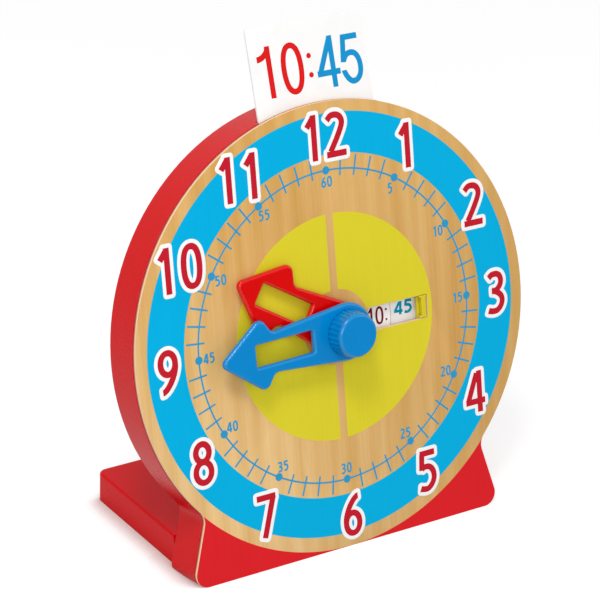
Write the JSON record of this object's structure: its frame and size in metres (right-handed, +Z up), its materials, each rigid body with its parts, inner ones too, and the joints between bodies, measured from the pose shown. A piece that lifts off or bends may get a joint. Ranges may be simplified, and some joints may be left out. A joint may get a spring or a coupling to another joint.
{
  "type": "geared teaching clock",
  "caption": "Round wooden teaching clock on a slab foot, with geared hands turned by a knob, a number window with a shutter, and a time card standing in a notch on top.",
  "frame": {"origin": "on the floor, in the middle of the clock's footprint", "axes": "+Z up, +X to the right and +Y away from a viewer who faces the dial; the dial faces -Y and leans back 11 degrees"},
  "size_m": [0.287, 0.135, 0.3287],
  "materials": {
    "birch_ply": "clear satin lacquer over upright birch grain",
    "red_lacquer": "smooth glossy red lacquer",
    "hardboard": "bare smooth hardboard",
    "beech": "bare beech",
    "zinc_steel": "zinc-plated steel",
    "bright_steel": "bright drawn steel",
    "plate_steel": "plain steel sheet",
    "brass": "turned brass",
    "blue_plastic": "glossy moulded plastic",
    "red_plastic": "glossy moulded plastic",
    "yellow_plastic": "moulded plastic",
    "white_disc": "white printed plastic",
    "white_card": "white printed plastic card",
    "gear_nylon": "natural moulded nylon",
    "washer_nylon": "natural nylon"
  },
  "bodies": {
    "root": {"front_board": "birch_ply", "case_body": "red_lacquer", "back_cover": "hardboard", "back_cover_screws": "zinc_steel", "foot_slab": "red_lacquer", "slab_screws": "zinc_steel", "slab_dowels": "beech", "shutter_rail_upper": "beech", "shutter_rail_lower": "beech", "dial_bush": "brass", "bush_nut": "brass", "hour_washer": "washer_nylon", "rear_bush": "brass", "idler_post": "bright_steel", "idler_clip": "bright_steel", "movement_plate": "plate_steel", "plate_pillars": "beech", "plate_screws": "zinc_steel"},
    "minute": {"minute_arbor": "bright_steel", "minute_hand": "blue_plastic", "hand_knob": "blue_plastic", "minute_pinion": "gear_nylon", "arbor_clip": "bright_steel", "arbor_washer": "washer_nylon", "hand_spacer": "washer_nylon"},
    "hour": {"hour_tube": "brass", "hour_hand": "red_plastic", "hour_disc": "white_disc", "hour_wheel": "gear_nylon"},
    "minute_figures": {"minute_disc": "white_disc", "minute_disc_gear": "gear_nylon"},
    "idler": {"idler_gear": "gear_nylon"},
    "shutter": {"window_shutter": "yellow_plastic"},
    "card": {"time_card": "white_card"}
  },
  "joints": [
    {"name": "minute_spin", "type": "hinge", "parent": "root", "child": "minute", "pos_m": [0, -0.04002, 0.14135], "axis": [0, 0.9816, -0.1908], "continuous": true},
    {"name": "hour_spin", "type": "hinge", "parent": "root", "child": "hour", "pos_m": [0, -0.04002, 0.14135], "axis": [0, 0.9816, -0.1908], "continuous": true},
    {"name": "figures_spin", "type": "hinge", "parent": "root", "child": "minute_figures", "pos_m": [0, -0.03286, 0.13996], "axis": [0, 0.9816, -0.1908], "continuous": true},
    {"name": "idler_spin", "type": "hinge", "parent": "root", "child": "idler", "pos_m": [0, -0.02592, 0.10805], "axis": [0, 0.9816, -0.1908], "continuous": true},
    {"name": "shutter_slide", "type": "slide", "parent": "root", "child": "shutter", "axis": [-1, 0, 0], "range_m": [0, 0.0392]},
    {"name": "card_lift", "type": "slide", "parent": "root", "child": "card", "axis": [0, 0.342, 0.9397], "range_m": [0, 0.03]}
  ],
  "couplings": [
    {"joint": "hour_spin", "follows": "minute_spin", "ratio": 0.083333},
    {"joint": "figures_spin", "follows": "minute_spin", "ratio": 1},
    {"joint": "idler_spin", "follows": "minute_spin", "ratio": -0.33333}
  ]
}
